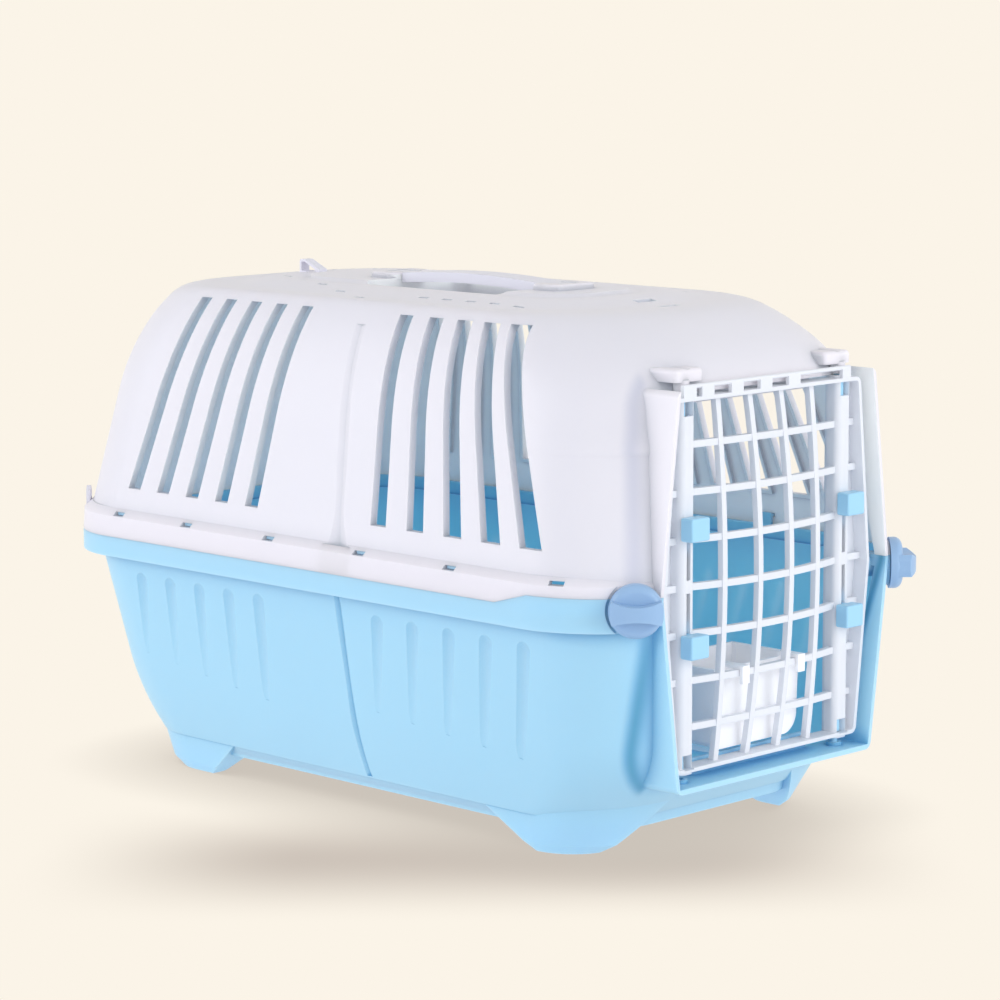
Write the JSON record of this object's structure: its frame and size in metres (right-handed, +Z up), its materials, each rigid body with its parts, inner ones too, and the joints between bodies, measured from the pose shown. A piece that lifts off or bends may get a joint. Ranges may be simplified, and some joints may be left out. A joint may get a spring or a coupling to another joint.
{
  "type": "pet carrier",
  "caption": "Plastic pet carrier with a blue tray base, slotted white upper shell, hinged grille door with sliding latch rods, turn knobs and a hang-on bowl.",
  "frame": {"origin": "on the floor plane under the middle of the whole length and width", "axes": "+X towards the door end, +Y to the hinge side of the door, +Z up"},
  "size_m": [0.4914, 0.284, 0.3128],
  "materials": {
    "white_shell": "moulded polypropylene, fine satin surface",
    "blue_tray": "moulded polypropylene, fine satin surface",
    "blue_latch": "moulded plastic, smooth",
    "violet_blue_knob": "moulded plastic, smooth",
    "steel_spring": "bright spring wire",
    "white_bowl": "moulded plastic, smooth"
  },
  "bodies": {
    "carrier": {"base_tray": "blue_tray", "top_shell": "white_shell", "rear_strap_loop": "white_shell", "carry_handle": "white_shell", "handle_pin_rear": "white_shell", "handle_pin_front": "white_shell", "rear_clip_near": "white_shell", "rear_clip_far": "white_shell"},
    "door": {"front_door": "white_shell", "latch_spring_near_upper": "steel_spring", "latch_spring_near_lower": "steel_spring", "latch_spring_far_upper": "steel_spring", "latch_spring_far_lower": "steel_spring"},
    "rod_near_upper": {"latch_rod_near_upper": "blue_latch"},
    "rod_near_lower": {"latch_rod_near_lower": "blue_latch"},
    "rod_far_upper": {"latch_rod_far_upper": "blue_latch"},
    "rod_far_lower": {"latch_rod_far_lower": "blue_latch"},
    "knob_near": {"lock_knob_near": "violet_blue_knob", "knob_cam_near": "violet_blue_knob"},
    "knob_far": {"lock_knob_far": "violet_blue_knob", "knob_cam_far": "violet_blue_knob"},
    "bowl": {"feeding_bowl": "white_bowl"}
  },
  "joints": [
    {"name": "door_hinge", "type": "hinge", "parent": "carrier", "child": "door", "pos_m": [0.222, 0.067, 0.157], "axis": [0, 0, 1], "range_deg": [0, 90]},
    {"name": "rod_near_upper_slide", "type": "slide", "parent": "door", "child": "rod_near_upper", "axis": [0, 0, 1], "range_m": [0, 0.008], "deforming": ["latch_spring_near_upper"]},
    {"name": "rod_near_lower_slide", "type": "slide", "parent": "door", "child": "rod_near_lower", "axis": [0, 0, -1], "range_m": [0, 0.008], "deforming": ["latch_spring_near_lower"]},
    {"name": "rod_far_upper_slide", "type": "slide", "parent": "door", "child": "rod_far_upper", "axis": [0, 0, 1], "range_m": [-0.008, 0], "stiffness_N_per_m": 150, "springref_m": 0.004, "deforming": ["latch_spring_far_upper"]},
    {"name": "rod_far_lower_slide", "type": "slide", "parent": "door", "child": "rod_far_lower", "axis": [0, 0, -1], "range_m": [-0.008, 0], "stiffness_N_per_m": 150, "springref_m": 0.004, "deforming": ["latch_spring_far_lower"]},
    {"name": "knob_near_turn", "type": "hinge", "parent": "carrier", "child": "knob_near", "pos_m": [0.2255, -0.1072, 0.149], "axis": [0.7071, -0.7071, 0], "range_deg": [0, 90]},
    {"name": "knob_far_turn", "type": "hinge", "parent": "carrier", "child": "knob_far", "pos_m": [0.2255, 0.1072, 0.149], "axis": [0.7071, 0.7071, 0], "range_deg": [-90, 0]},
    {"name": "bowl_lift", "type": "slide", "parent": "door", "child": "bowl", "axis": [0, 0, 1], "range_m": [0, 0.012]}
  ]
}
